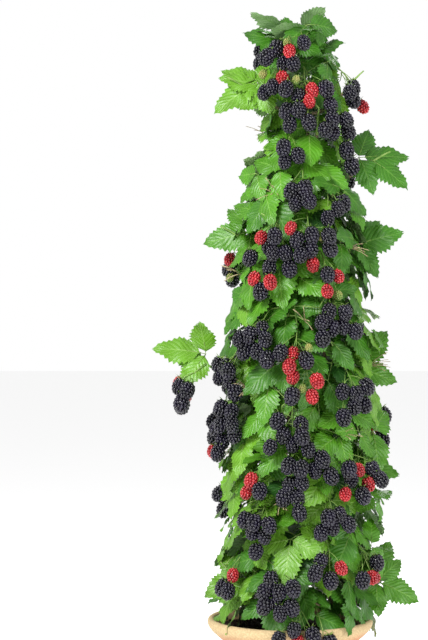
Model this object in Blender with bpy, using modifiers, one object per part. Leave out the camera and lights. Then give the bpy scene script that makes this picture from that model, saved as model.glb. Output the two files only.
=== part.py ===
# Potted bramble: upright canes with side shoots, leaves and fruit, in a terracotta pot.
# Units are metres, +Z up. The origin is the middle of the pot's flat underside.
# The plant's front faces -Y. Azimuths are in degrees, from +X (its right side) towards +Y (its back).

import math
import random

import bmesh
import bpy
import numpy as np
from mathutils import Matrix, Vector
from mathutils.bvhtree import BVHTree

# Driving sizes of the pot
POT_HEIGHT = 0.295
RIM_RADIUS = 0.190
RIM_DROP = 0.009  # from the top of the lip to the widest place
RIM_DEPTH = 0.062  # of the flare, from the widest place to the neck
NECK_RADIUS = 0.1445
FOOT_RADIUS = 0.112
WALL = 0.014
FLOOR = 0.018
POT_SIDES = 32
SOIL_TOP = 0.272
CLEAR = 0.0003  # between solids that touch on the real plant

# Driving sizes of the plant
PLANT_TOP = 1.725
COLUMN_OUTLINE = (  # height, radius of the leafy column there
    (0.30, 0.195),
    (0.95, 0.190),
    (1.25, 0.155),
    (1.40, 0.120),
    (1.66, 0.085),
)
COLUMN_MIDDLE = (  # height, how far the column's middle stands to the right of the pot's there
    (0.27, 0.006),
    (0.50, 0.026),
    (1.50, 0.026),
    (1.71, 0.014),
)
CANE_TIP_RADIUS = 0.0030
ROOT_FLARE = 1.55  # radius at the soil over radius above the flare
CANES = {  # foot (x, y), top (x, y, z), radius above the root flare
    "cane_main": ((-0.004, 0.012), (0.010, 0.004, 1.560), 0.0085),
    "cane_right": ((0.092, -0.046), (0.048, -0.016, 1.230), 0.0070),
    "cane_left": ((-0.062, -0.028), (-0.022, -0.024, 1.060), 0.0065),
    "cane_back": ((0.020, 0.070), (0.026, 0.044, 1.140), 0.0065),
}
CANE_STEPS = 12

# Shoots fill the column's front and back in turn. The long ones break its outline.
ROW_SHOOTS = 5  # on each side
ROW_HEIGHTS = {"front": (270.0, 0.52, 1.40), "back": (90.0, 0.50, 1.46)}  # azimuth, lowest and highest
ROW_SWING = 26.0  # of azimuth to each side in turn
LONG_SHOOTS = {  # azimuth and height of the shoot, then each tip leaf's azimuth, height and reach
    "foot_right": (350.0, 0.36, (350.0, 0.342, 0.300), (12.0, 0.480, 0.222)),
    "foot_left": (190.0, 0.37, (196.0, 0.352, 0.236), (172.0, 0.430, 0.205)),
    "foot_front": (276.0, 0.36, (262.0, 0.350, 0.232), (292.0, 0.420, 0.215)),
    "foot_back": (96.0, 0.38, (84.0, 0.362, 0.240), (112.0, 0.450, 0.215)),
    "low_right": (8.0, 0.62, (358.0, 0.632, 0.226), (20.0, 0.720, 0.215)),
    "low_left": (172.0, 0.63, (176.0, 0.660, 0.205), (160.0, 0.560, 0.205)),
    "long_left": (184.0, 0.86, (182.0, 0.925, 0.338), (188.0, 0.815, 0.352)),
    "long_right": (352.0, 0.85, (350.0, 0.835, 0.232), (4.0, 0.960, 0.205)),
    "long_back": (98.0, 0.86, (92.0, 0.860, 0.265), (108.0, 0.930, 0.235)),
    "middle_right": (4.0, 1.13, (0.0, 1.190, 0.234), (8.0, 1.105, 0.242)),
    "middle_left": (178.0, 1.16, (182.0, 1.155, 0.228), (172.0, 1.250, 0.185)),
    "shoulder_right": (356.0, 1.33, (0.0, 1.365, 0.250), (350.0, 1.285, 0.260)),
    "upper_left": (186.0, 1.50, (182.0, 1.552, 0.198), (190.0, 1.465, 0.202)),
    "upper_right": (350.0, 1.50, (356.0, 1.540, 0.172), (340.0, 1.430, 0.150)),
    "top": (90.0, 1.56, (20.0, 1.722, 0.022), (176.0, 1.652, 0.128), (4.0, 1.665, 0.075)),
}
HEART_SHARE = (0.60, 0.56)  # of the column's radius, or of a long shoot's reach, where its bough ends

# Leaves and fruit
GOLDEN_ANGLE = 137.508
LEAFLET = (0.094, 0.072)  # length and width of the middle leaflet of three
LEAFLETS_OF_LEAF = (  # turn from the leaf's direction, share of the size above, distance back along the stalk
    (0, 1.0, 0.002),
    (76, 0.84, 0.011),
    (-76, 0.84, 0.016),
)
LEAF_THICKNESS = 0.0024
LEAF_SINK = 0.0004  # of a leaflet's root past the middle of its stalk
COLUMN_LEAVES = 260  # places for a leaf of three leaflets, where the shoot has room for it
LEAF_TRIES = 16
FRUIT = (0.031, 0.038)  # width and length
FRONT_TRUSSES = (  # to the right of the pot's middle, height and number of fruit, as the photo has them
    (-0.012, 1.615, 3),
    (0.030, 1.525, 4),
    (0.135, 1.540, 3),
    (0.092, 1.450, 3),
    (0.092, 1.265, 2),
    (-0.045, 1.185, 4),
    (0.035, 1.190, 4),
    (0.099, 1.017, 4),
    (-0.074, 0.974, 4),
    (-0.143, 0.898, 3),
    (0.133, 0.854, 3),
    (-0.239, 0.850, 3),
    (-0.138, 0.799, 3),
    (-0.005, 0.773, 4),
    (0.143, 0.665, 4),
    (0.000, 0.665, 3),
    (-0.074, 0.553, 3),
    (0.087, 0.571, 3),
    (-0.037, 0.410, 4),
    (0.014, 0.325, 3),
)
OTHER_TRUSSES = 40  # places for one of three fruit, away from those at the front
TRUSS_SPACING = 0.11
FRUIT_REACH = 0.33
TWIG_RADIUS = 0.0022
TWIG_POINT = 0.006
STEM_RADIUS = 0.0036
STEM_LENGTHS = (0.075, 0.060, 0.045, 0.030)  # the longest that has room
SPACE_MARGIN = 0.0008  # kept on each side of the border between two masses
LIMB_MARGIN = 0.0015  # kept between foliage and a cane, a bough or the pot

UP = Vector((0, 0, 1))


def clear_scene():
    for obj in list(bpy.data.objects):
        bpy.data.objects.remove(obj)


def material(name, colour, roughness):
    made = bpy.data.materials.new(name)
    made.use_nodes = True
    shader = made.node_tree.nodes["Principled BSDF"]
    shader.inputs["Base Color"].default_value = (*colour, 1)
    shader.inputs["Roughness"].default_value = roughness
    return made


def outward(azimuth):
    return Vector((math.cos(math.radians(azimuth)), math.sin(math.radians(azimuth)), 0))


def column_middle(z):
    """The point of the column's middle line at height z."""
    heights, rights = zip(*COLUMN_MIDDLE)
    return Vector((float(np.interp(z, heights, rights)), 0, z))


def column_radius(z):
    heights, radii = zip(*COLUMN_OUTLINE)
    return float(np.interp(z, heights, radii))


def spiral(count, start):
    """Azimuth and height of evenly spread places on the column's surface."""
    heights = np.linspace(COLUMN_OUTLINE[0][0], COLUMN_OUTLINE[-1][0], 200)
    area = np.cumsum([column_radius(z) for z in heights])
    shares = (np.arange(count) + 0.5) / count
    found = np.interp(shares * area[-1], area, heights)
    return [((start + GOLDEN_ANGLE * i) % 360, float(z)) for i, z in enumerate(found)]


# The pot and its soil


def inner_radius(z):
    """The radius of the pot's hollow at height z."""
    neck = POT_HEIGHT - RIM_DROP - RIM_DEPTH
    radii = (FOOT_RADIUS - WALL, NECK_RADIUS - WALL, RIM_RADIUS - 1.4 * WALL)
    return float(np.interp(z, (FLOOR, neck, POT_HEIGHT - 0.006), radii))


def turned(name, profile, look):
    """A solid turned about the Z axis. The profile's outer side runs downwards."""
    mesh = bpy.data.meshes.new(name)
    mesh.from_pydata([(r, 0, z) for r, z in profile], [(i, i + 1) for i in range(len(profile) - 1)], [])
    obj = bpy.data.objects.new(name, mesh)
    screw = obj.modifiers.new("turn", "SCREW")
    screw.steps = screw.render_steps = POT_SIDES
    screw.use_merge_vertices = True
    screw.merge_threshold = 0.00005
    obj.data.materials.append(look)
    return obj


def pot(look):
    widest = POT_HEIGHT - RIM_DROP
    neck = widest - RIM_DEPTH
    inside = [(0, FLOOR)] + [(inner_radius(z), z) for z in (FLOOR, neck, POT_HEIGHT - 0.006)]
    lip = [(RIM_RADIUS - WALL, POT_HEIGHT), (RIM_RADIUS - 0.006, POT_HEIGHT), (RIM_RADIUS - 0.001, widest + 0.004)]
    flare = []
    for i in range(6):
        share = i / 5
        reach = (1 + math.cos(math.pi * share)) / 2
        flare.append((NECK_RADIUS + (RIM_RADIUS - NECK_RADIUS) * reach, widest - RIM_DEPTH * share))
    body = []
    for i in range(1, 4):
        share = i / 3
        belly = 0.005 * math.sin(math.pi * share)
        body.append((NECK_RADIUS + (FOOT_RADIUS - NECK_RADIUS) * share**1.5 + belly, neck * (1 - share)))
    return turned("pot", inside + lip + flare + body + [(0, 0)], look)


def soil(look):
    neck = POT_HEIGHT - RIM_DROP - RIM_DEPTH
    side = [(inner_radius(z) - 2 * CLEAR, z) for z in (SOIL_TOP, neck)]
    foot = [(inner_radius(FLOOR) - 2 * CLEAR, FLOOR + CLEAR), (0, FLOOR + CLEAR)]
    return turned("soil", [(0, SOIL_TOP), *side, *foot], look)


# Canes and boughs


def tapered_tube(name, points, radii, look, resolution):
    curve = bpy.data.curves.new(name, "CURVE")
    curve.dimensions = "3D"
    curve.bevel_depth = 1.0
    curve.bevel_resolution = resolution
    curve.use_fill_caps = True
    spline = curve.splines.new("POLY")
    spline.points.add(len(points) - 1)
    for spot, point, radius in zip(spline.points, points, radii):
        spot.co = (*point, 1)
        spot.radius = radius
    obj = bpy.data.objects.new(name, curve)
    obj.data.materials.append(look)
    return obj


def cane_point(name, share):
    """A cane rises straight out of the soil, leans in fast at first, and sways a little."""
    foot, top, _ = CANES[name]
    z = SOIL_TOP + CLEAR + (top[2] - SOIL_TOP) * share
    closeness = 1 - (1 - share) ** 2.2
    sway = 0.006 * math.sin(3 * math.pi * share) * (1 if foot[0] < 0.01 else -1)
    x = foot[0] + (top[0] - foot[0]) * closeness + sway
    y = foot[1] + (top[1] - foot[1]) * closeness - 0.5 * sway
    return Vector((x, y, z)) + (column_middle(z) - Vector((0, 0, z)))


def cane_rings(name):
    """The centre and radius of each ring of a cane, from its level cut on the soil to its tip."""
    shares = [0.0, 0.008] + [(i / CANE_STEPS) ** 1.15 for i in range(1, CANE_STEPS + 1)]
    rings = []
    for share in shares:
        radius = CANES[name][2]
        flare = radius * (ROOT_FLARE - 1) * math.exp(-share * 30)
        rings.append((cane_point(name, share), radius + (CANE_TIP_RADIUS - radius) * share + flare))
    rings[1][0].xy = rings[0][0].xy
    return rings


def cane_at(name, z):
    """The cane's centre, radius and direction at height z, or None where it doesn't reach."""
    rings = cane_rings(name)
    for (low, low_radius), (high, high_radius) in zip(rings[1:], rings[2:]):
        if low.z <= z <= high.z:
            share = (z - low.z) / (high.z - low.z)
            return low.lerp(high, share), low_radius + (high_radius - low_radius) * share, (high - low).normalized()
    return None


def cane(name, look):
    points, radii = zip(*cane_rings(name))
    return tapered_tube(name, points, radii, look, 2 if name == "cane_main" else 1)


def shoots():
    """Each shoot's azimuth, height and tip leaves."""
    found = {}
    for side, (azimuth, low, high) in ROW_HEIGHTS.items():
        for i in range(ROW_SHOOTS):
            swing = ROW_SWING * (-1) ** i
            found[f"{side}_{i + 1}"] = (azimuth + swing, low + (high - low) * i / (ROW_SHOOTS - 1))
    return {**found, **LONG_SHOOTS}


def heart_of(azimuth, z, *tips):
    """Where a shoot's bough ends and its mass of leaves begins."""
    of_column, of_reach = HEART_SHARE
    reach = max((tip[2] for tip in tips), default=0)
    return column_middle(z) + outward(azimuth) * max(of_column * column_radius(z), of_reach * reach)


def bough_path(azimuth, heart):
    """From the side of the outermost cane that stands on this shoot's side, up and out to its heart."""
    root_z = max(heart.z - 0.045, SOIL_TOP + 0.040)
    found = [cane_at(name, root_z) for name in CANES]
    toward = outward(azimuth)
    centre, radius, rise = max((place for place in found if place), key=lambda place: place[0].dot(toward))
    away = (heart - centre) - rise * (heart - centre).dot(rise)
    away.normalize()
    start = centre + away * (radius + CLEAR)
    collar = start + away * 0.004
    knee = start + away * 0.4 * (heart - start).length
    bend = [collar * (1 - t) ** 2 + knee * 2 * t * (1 - t) + heart * t**2 for t in (0, 0.3, 0.65, 1.0)]
    return [start] + bend


def bough(name, path, look):
    root, tip = 0.0046, STEM_RADIUS
    radii = [root + (tip - root) * i / (len(path) - 1) for i in range(len(path))]
    return tapered_tube(name, path, radii, look, 1)


# Pieces of a mass: each is a bmesh placed in the plant


def along(direction, normal):
    """A turn whose X axis lies along direction and whose Z axis is as near normal as can be."""
    x = direction.normalized()
    y = normal.cross(x).normalized()
    return Matrix((x, y, x.cross(y))).transposed()


def twig_piece(start, end, root_radius, tip_radius, sides=3, point=0.0):
    """A twig whose foot runs to a point, so that it sinks into its parent without coming out beyond it."""
    piece = bmesh.new()
    length = (end - start).length - point
    bmesh.ops.create_cone(piece, segments=sides, radius1=root_radius, radius2=tip_radius, depth=length, cap_ends=True)
    if point:
        foot = min(piece.faces, key=lambda face: face.calc_center_median().z)
        centre = bmesh.ops.poke(piece, faces=[foot])["verts"][0]
        centre.co.z -= point
    turn = (end - start).to_track_quat("Z", "Y").to_matrix().to_4x4()
    piece.transform(Matrix.Translation((start + end) / 2) @ turn @ Matrix.Translation((0, 0, point / 2)))
    return piece


def blade_piece(root, direction, normal, length, width):
    """A leaflet of 8 faces: widest before its middle, its tip and sides a little lower than its midrib."""
    piece = bmesh.new()
    bmesh.ops.create_uvsphere(piece, u_segments=4, v_segments=2, radius=1.0)
    for vert in piece.verts:
        x, y, z = vert.co
        vert.co = (x * length / 2 - 0.06 * length * abs(y), y * width / 2, z * LEAF_THICKNESS / 2)
        vert.co.z -= 0.07 * length * abs(y) + (0.10 * length if x > 0.5 else 0)
    piece.transform(Matrix.Translation(root + direction.normalized() * length / 2) @ along(direction, normal).to_4x4())
    return piece


def fruit_piece(top, direction):
    piece = bmesh.new()
    bmesh.ops.create_uvsphere(piece, u_segments=4, v_segments=3, radius=1.0)
    width, length = FRUIT
    piece.transform(Matrix.Diagonal((width / 2, width / 2, length / 2, 1)))
    turn = direction.to_track_quat("Z", "Y").to_matrix().to_4x4()
    piece.transform(Matrix.Translation(top + direction.normalized() * length / 2) @ turn)
    return piece


def tree_of_object(obj):
    mesh = obj.evaluated_get(bpy.context.evaluated_depsgraph_get()).to_mesh()
    return BVHTree.FromPolygons([obj.matrix_world @ v.co for v in mesh.vertices], [p.vertices for p in mesh.polygons])


class Mass:
    """One shoot's leaves, twigs and fruit. It keeps to the space nearer its own heart than any other's."""

    def __init__(self, name, hearts, limbs, look):
        self.name = name
        self.heart = hearts[name]
        self.others = [heart for other, heart in hearts.items() if other != name]
        self.limbs = limbs
        self.look = look
        self.dice = random.Random("seed of " + name)
        self.group = bpy.data.collections.new("pieces_of_" + name)
        bpy.context.scene.collection.children.link(self.group)
        self.trees = []  # one for each piece so far, to keep the pieces apart
        self.stems = []  # start, end and tree of each twig that another can grow from
        self.used = []  # where twigs have grown

    def owns(self, point):
        near = (point - self.heart).length + 2 * SPACE_MARGIN
        return all((point - other).length > near for other in self.others)

    def fitting(self, piece, joined=(), reach=0.0):
        """The piece's tree, or None where it leaves this mass's space or touches what it isn't joined to."""
        for vert in piece.verts:
            limit = max(column_radius(vert.co.z) + 0.012, reach)
            if (vert.co - column_middle(vert.co.z)).xy.length > limit or not self.owns(vert.co):
                return None
        tree = BVHTree.FromBMesh(piece)
        for limb in self.limbs:
            if tree.overlap(limb) or any(limb.find_nearest(v.co, LIMB_MARGIN)[0] for v in piece.verts):
                return None
        if any(tree.overlap(other) for other in self.trees if other not in joined):
            return None
        return tree

    def keep(self, piece, tree):
        self.trees.append(tree)
        mesh = bpy.data.meshes.new(self.name)
        piece.to_mesh(mesh)
        mesh.materials.append(self.look)
        self.group.objects.link(bpy.data.objects.new(f"{self.name}_{len(self.trees)}", mesh))

    def grow_stem(self, start, direction):
        """The one stem, which begins clear of the bough's tip."""
        direction = direction.normalized()
        start = start + direction * CLEAR
        for length in STEM_LENGTHS:
            end = start + direction * length
            piece = twig_piece(start, end, STEM_RADIUS, 0.8 * STEM_RADIUS, sides=5)
            if all(self.owns(v.co) for v in piece.verts):
                break
        tree = BVHTree.FromBMesh(piece)
        self.keep(piece, tree)
        self.stems.append((start, end, tree))

    def stalk_to(self, goal, reach=0.0):
        """A twig to goal from the nearest free place on those already there: its piece, tree and foot, or None."""
        places = []
        for start, end, parent in self.stems:
            for share in (0.3, 0.6, 0.95):
                foot = start.lerp(end, share)
                if all((foot - taken).length > 0.008 for taken in self.used):
                    places.append(((foot - goal).length, foot, parent))
        places.sort(key=lambda place: place[0])
        for distance, foot, parent in places[:4]:
            if distance > 0.012:
                piece = twig_piece(foot, goal, TWIG_RADIUS, 0.8 * TWIG_RADIUS, point=TWIG_POINT)
                tree = self.fitting(piece, [parent], reach)
                if tree:
                    return piece, tree, foot
        return None

    def keep_stalk(self, stalk, goal):
        piece, tree, foot = stalk
        self.keep(piece, tree)
        self.stems.append((foot.lerp(goal, 0.2), foot.lerp(goal, 0.8), tree))
        self.used.append(foot)

    def leaf_at(self, goal, direction, normal, fewest=2, reach=0.0):
        """A leaf of up to three leaflets on its own stalk: the stalk and the leaflets that fit."""
        stalk = self.stalk_to(goal, reach)
        if stalk is None:
            return None
        length, width = LEAFLET
        along_stalk = (goal - stalk[2]).normalized()
        leaflets = []
        for turn, share, back in LEAFLETS_OF_LEAF:
            way = (Matrix.Rotation(math.radians(turn), 3, normal.normalized()) @ direction).normalized()
            root = goal - along_stalk * back - way * LEAF_SINK
            piece = blade_piece(root, way, normal, length * share, width * share)
            tree = self.fitting(piece, [stalk[1]], reach)
            if tree and not any(tree.overlap(other) for _, other in leaflets):
                leaflets.append((piece, tree))
        return (stalk, goal, leaflets) if len(leaflets) >= fewest else None

    def keep_leaf(self, leaf):
        stalk, goal, leaflets = leaf
        self.keep_stalk(stalk, goal)
        for piece, tree in leaflets:
            self.keep(piece, tree)

    def tip_leaf(self, azimuth, z, reach):
        """A leaf whose point is one of the plant's furthest tips."""
        tip = column_middle(z) + outward(azimuth) * reach
        for _ in range(LEAF_TRIES):
            sway = Vector([self.dice.uniform(-0.12, 0.12) for _ in range(3)])
            direction = ((tip - self.stems[0][1]).normalized() - 0.25 * UP + sway).normalized()
            normal = (UP + 0.3 * outward(azimuth) + sway).cross(direction).cross(-direction)
            leaf = self.leaf_at(tip - direction * (LEAFLET[0] - 0.002), direction, normal, 1, reach + 0.001)
            if leaf:
                self.keep_leaf(leaf)
                return

    def column_leaf(self, azimuth, z):
        """A leaf that hangs out and down over the column's side, the fullest of several tries."""
        best = None
        for _ in range(LEAF_TRIES):
            turned_by = self.dice.uniform(-9, 9)
            away, around = outward(azimuth + turned_by), outward(azimuth + turned_by + 90)
            height = z + self.dice.uniform(-0.02, 0.045)
            goal = column_middle(height) + away * (column_radius(height) - self.dice.uniform(0.015, 0.06))
            goal.z = height
            side = self.dice.uniform(-1.0, 1.0)
            direction = (away * 0.45 + around * side - UP * self.dice.uniform(0.1, 1.0)).normalized()
            facing = away * 0.9 + UP * self.dice.uniform(0.2, 0.9) + around * self.dice.uniform(-0.3, 0.3)
            normal = facing.cross(direction).cross(-direction)
            leaf = self.leaf_at(goal, direction, normal)
            if leaf and (best is None or len(leaf[2]) > len(best[2])):
                best = leaf
            if best and len(best[2]) == 3:
                break
        if best:
            self.keep_leaf(best)

    def truss(self, place, count):
        """Fruit that hangs in a bunch from a twig's end."""
        away = (place - column_middle(place.z)).normalized()
        around = UP.cross(away)
        goal = place + 0.012 * UP - 0.012 * away
        stalk = self.stalk_to(goal, FRUIT_REACH)
        if stalk is None:
            return
        self.keep_stalk(stalk, goal)
        joined = [stalk[1]]
        for i in range(count):
            turn = math.radians(90 + 360 * i / max(count, 3))
            way = (0.8 * math.cos(turn) * around - (0.25 + 0.8 * math.sin(turn)) * UP + 0.35 * away).normalized()
            piece = fruit_piece(goal - way * 0.004, way)
            tree = self.fitting(piece, joined, FRUIT_REACH)
            if tree:
                self.keep(piece, tree)
                joined.append(tree)

    def fused(self):
        """All the pieces joined to the first, the stem, by one union."""
        stem = self.group.objects[0]
        self.group.objects.unlink(stem)
        bpy.context.scene.collection.objects.link(stem)
        join = stem.modifiers.new("join", "BOOLEAN")
        join.operation = "UNION"
        join.operand_type = "COLLECTION"
        join.collection = self.group
        join.solver = "MANIFOLD"
        bpy.context.view_layer.update()
        mesh = bpy.data.meshes.new_from_object(stem.evaluated_get(bpy.context.evaluated_depsgraph_get()))
        bpy.data.objects.remove(stem)
        for obj in list(self.group.objects):
            bpy.data.objects.remove(obj)
        bpy.data.collections.remove(self.group)
        return bpy.data.objects.new("mass_" + self.name, largest_body(mesh))


def largest_body(mesh):
    """The mesh with only its largest connected body, without loose scraps and sealed hollows."""
    body = bmesh.new()
    body.from_mesh(mesh)
    unseen, islands = set(body.faces), []
    while unseen:
        island, front = set(), [unseen.pop()]
        while front:
            face = front.pop()
            island.add(face)
            near = {other for edge in face.edges for other in edge.link_faces} & unseen
            unseen -= near
            front.extend(near)
        islands.append(island)
    islands.sort(key=len)
    for island in islands[:-1]:
        bmesh.ops.delete(body, geom=list(island), context="FACES")
    body.to_mesh(mesh)
    body.free()
    return mesh


def front_place(x, z):
    """The point of the column's front that shows at x, or beside it for a long shoot's fruit."""
    middle = column_middle(z)
    across = x - middle.x
    depth = math.sqrt(max(column_radius(z) ** 2 - across**2, 0.04**2))
    return middle + Vector((across, -depth, 0))


def truss_places():
    places = [(front_place(x, z), count) for x, z, count in FRONT_TRUSSES]
    for azimuth, z in spiral(OTHER_TRUSSES, 70.0):
        place = column_middle(z) + outward(azimuth) * column_radius(z)
        if all((place - other).length > TRUSS_SPACING for other, _ in places):
            places.append((place, 3))
    return places


def main():
    clear_scene()
    plant = bpy.data.collections.new("potted_bramble")
    bpy.context.scene.collection.children.link(plant)
    clay = material("terracotta", (0.55, 0.36, 0.20), 0.8)
    earth = material("soil", (0.055, 0.035, 0.022), 0.95)
    bark = material("cane_bark", (0.33, 0.26, 0.15), 0.7)
    foliage = material("foliage", (0.10, 0.30, 0.02), 0.5)
    hearts = {name: heart_of(*places) for name, places in shoots().items()}
    main_tip, main_end = [ring[0] for ring in cane_rings("cane_main")[:-3:-1]]
    hearts["top"] = main_tip
    limbs = [pot(clay), soil(earth)] + [cane(name, bark) for name in CANES]
    ends = {"top": (main_tip, main_tip - main_end)}  # where each mass's stem begins, and its direction
    for name, places in shoots().items():
        if name != "top":
            path = bough_path(places[0], hearts[name])
            limbs.append(bough("bough_" + name, path, bark))
            ends[name] = (path[-1], path[-1] - path[-2])
    for limb in limbs:
        plant.objects.link(limb)
    bpy.context.view_layer.update()
    limb_trees = [tree_of_object(limb) for limb in limbs]

    masses = [Mass(name, hearts, limb_trees, foliage) for name in hearts]
    for mass in masses:
        mass.grow_stem(*ends[mass.name])
        for tip in LONG_SHOOTS.get(mass.name, (0, 0))[2:]:
            mass.tip_leaf(*tip)

    def owner(place):
        return min(masses, key=lambda mass: (place - mass.heart).length)

    for place, count in truss_places():
        owner(place).truss(place, count)
    for azimuth, z in spiral(COLUMN_LEAVES, 0.0):
        owner(column_middle(z) + outward(azimuth) * column_radius(z)).column_leaf(azimuth, z)
    for mass in masses:
        plant.objects.link(mass.fused())


main()
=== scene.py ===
import math
import random

import bmesh
import bpy
import numpy as np
from mathutils import Matrix, Vector, noise


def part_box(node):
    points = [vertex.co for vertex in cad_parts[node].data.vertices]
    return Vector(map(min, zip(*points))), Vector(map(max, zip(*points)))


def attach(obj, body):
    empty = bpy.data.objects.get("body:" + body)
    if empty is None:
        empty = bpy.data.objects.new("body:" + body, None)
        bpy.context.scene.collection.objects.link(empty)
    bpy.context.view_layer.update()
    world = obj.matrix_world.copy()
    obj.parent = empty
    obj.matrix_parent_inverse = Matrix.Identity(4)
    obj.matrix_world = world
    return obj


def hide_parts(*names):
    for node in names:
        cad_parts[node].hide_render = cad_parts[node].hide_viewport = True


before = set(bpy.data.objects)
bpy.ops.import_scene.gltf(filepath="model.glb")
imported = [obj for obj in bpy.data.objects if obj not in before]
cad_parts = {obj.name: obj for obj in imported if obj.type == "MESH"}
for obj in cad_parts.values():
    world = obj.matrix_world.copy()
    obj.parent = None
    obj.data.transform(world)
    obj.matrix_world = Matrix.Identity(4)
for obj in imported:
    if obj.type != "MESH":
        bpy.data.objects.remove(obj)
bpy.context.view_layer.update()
nodeNames = sorted(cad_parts)
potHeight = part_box("pot")[1][2]
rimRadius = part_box("pot")[1][0]
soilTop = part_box("soil")[1][2]
up = Vector((0, 0, 1))
dice = random.Random(41)
print("frame loaded:", len(nodeNames), "nodes")

# The same plan of canes and shoots as in the source
plant = {
    "top": 1.705,
    "outline": ((0.30, 0.195), (0.95, 0.190), (1.25, 0.155), (1.40, 0.120), (1.66, 0.085)),  # height, radius
    "middle": ((0.27, 0.006), (0.50, 0.026), (1.50, 0.026), (1.71, 0.014)),  # height, shift to the right
    "goldenAngle": 137.508,
    "heartShare": (0.60, 0.56),  # of the column's radius or a long shoot's reach
}
canes = {  # foot, top, radius above the root flare
    "cane_main": ((-0.004, 0.012), (0.010, 0.004, 1.560), 0.0085),
    "cane_right": ((0.092, -0.046), (0.048, -0.016, 1.230), 0.0070),
    "cane_left": ((-0.062, -0.028), (-0.022, -0.024, 1.060), 0.0065),
    "cane_back": ((0.020, 0.070), (0.026, 0.044, 1.140), 0.0065),
}
caneCourse = {
    "closing": 2.2,  # how early a cane leans in to its top
    "sway": 0.006,
    "tipRadius": 0.003,
    "flare": 0.55,  # of the radius, added at the soil
    "flareFade": 30,
}
rows = {  # of short shoots: azimuth, lowest and highest
    "count": 5,
    "swing": 26.0,
    "front": (270.0, 0.52, 1.40),
    "back": (90.0, 0.50, 1.46),
}
longShoots = {  # azimuth, height, then tip leaves: azimuth, height, reach
    "foot_right": (350.0, 0.36, (350.0, 0.342, 0.300), (12.0, 0.480, 0.222)),
    "foot_left": (190.0, 0.37, (196.0, 0.352, 0.236), (172.0, 0.430, 0.205)),
    "foot_front": (276.0, 0.36, (262.0, 0.350, 0.232), (292.0, 0.420, 0.215)),
    "foot_back": (96.0, 0.38, (84.0, 0.362, 0.240), (112.0, 0.450, 0.215)),
    "low_right": (8.0, 0.62, (358.0, 0.632, 0.226), (20.0, 0.720, 0.215)),
    "low_left": (172.0, 0.63, (176.0, 0.660, 0.205), (160.0, 0.560, 0.205)),
    "long_left": (184.0, 0.86, (182.0, 0.925, 0.338), (188.0, 0.815, 0.335)),
    "long_right": (352.0, 0.85, (350.0, 0.835, 0.232), (4.0, 0.960, 0.205)),
    "long_back": (98.0, 0.86, (92.0, 0.860, 0.258), (108.0, 0.930, 0.235)),
    "middle_right": (4.0, 1.13, (0.0, 1.190, 0.234), (8.0, 1.105, 0.242)),
    "middle_left": (178.0, 1.16, (182.0, 1.155, 0.228), (172.0, 1.250, 0.185)),
    "shoulder_right": (356.0, 1.33, (0.0, 1.365, 0.250), (350.0, 1.285, 0.260)),
    "upper_left": (186.0, 1.50, (182.0, 1.552, 0.198), (190.0, 1.465, 0.202)),
    "upper_right": (350.0, 1.50, (356.0, 1.540, 0.172), (340.0, 1.430, 0.150)),
    "top": (90.0, 1.56, (20.0, 1.704, 0.022), (176.0, 1.652, 0.128), (4.0, 1.665, 0.075)),
}


def columnMiddle(z):
    heights, shifts = zip(*plant["middle"])
    return Vector((float(np.interp(z, heights, shifts)), 0, z))


def columnRadius(z):
    heights, radii = zip(*plant["outline"])
    return float(np.interp(z, heights, radii))


def outward(azimuth):
    return Vector((math.cos(math.radians(azimuth)), math.sin(math.radians(azimuth)), 0))


# Places on the column, even by its surface: azimuth and height
def spiral(count, start, low=plant["outline"][0][0], high=plant["outline"][-1][0]):
    heights = np.linspace(low, high, 200)
    area = np.cumsum([columnRadius(z) for z in heights])
    found = np.interp((np.arange(count) + 0.5) / count * area[-1], area, heights)
    return [((start + plant["goldenAngle"] * i) % 360, float(z)) for i, z in enumerate(found)]


def canePoint(name, share):
    foot, top, _ = canes[name]
    z = soilTop + (top[2] - soilTop) * share
    closeness = 1 - (1 - share) ** caneCourse["closing"]
    sway = caneCourse["sway"] * math.sin(3 * math.pi * share) * (1 if foot[0] < 0.01 else -1)
    x = foot[0] + (top[0] - foot[0]) * closeness + sway
    y = foot[1] + (top[1] - foot[1]) * closeness - 0.5 * sway
    return Vector((x, y, z)) + (columnMiddle(z) - Vector((0, 0, z)))


def caneRadius(name, share):
    radius = canes[name][2]
    flare = radius * caneCourse["flare"] * math.exp(-share * caneCourse["flareFade"])
    return radius + (caneCourse["tipRadius"] - radius) * share + flare


def allShoots():
    found = {}
    for side in ("front", "back"):
        azimuth, low, high = rows[side]
        for i in range(rows["count"]):
            z = low + (high - low) * i / (rows["count"] - 1)
            found[f"{side}_{i + 1}"] = (azimuth + rows["swing"] * (-1) ** i, z)
    return {**found, **longShoots}


# The middle of a mass, where its bough ends
def heartOf(azimuth, z, *tips):
    reach = max((tip[2] for tip in tips), default=0)
    distance = max(plant["heartShare"][0] * columnRadius(z), plant["heartShare"][1] * reach)
    return columnMiddle(z) + outward(azimuth) * distance


shoots = allShoots()
hearts = {name: heartOf(*places) for name, places in shoots.items()}
hearts["top"] = canePoint("cane_main", 1.0)


# Materials
def newMaterial(name, **inputs):
    material = bpy.data.materials.new(name)
    material.use_nodes = True
    shader = material.node_tree.nodes["Principled BSDF"]
    for key, value in inputs.items():
        shader.inputs[key.replace("_", " ")].default_value = value
    return material, material.node_tree, shader


# A new node with its sockets fed by links, colours or plain numbers
def addNode(tree, kind, inputs=None, **settings):
    node = tree.nodes.new("ShaderNode" + kind)
    for key, value in settings.items():
        setattr(node, key, value)
    for socket, value in (inputs or {}).items():
        if isinstance(value, bpy.types.NodeSocket):
            tree.links.new(value, node.inputs[socket])
        else:
            node.inputs[socket].default_value = (*value, 1) if isinstance(value, tuple) else value
    return node


def calculate(tree, operation, *values):
    return addNode(tree, "Math", dict(enumerate(values)), operation=operation).outputs[0]


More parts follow.
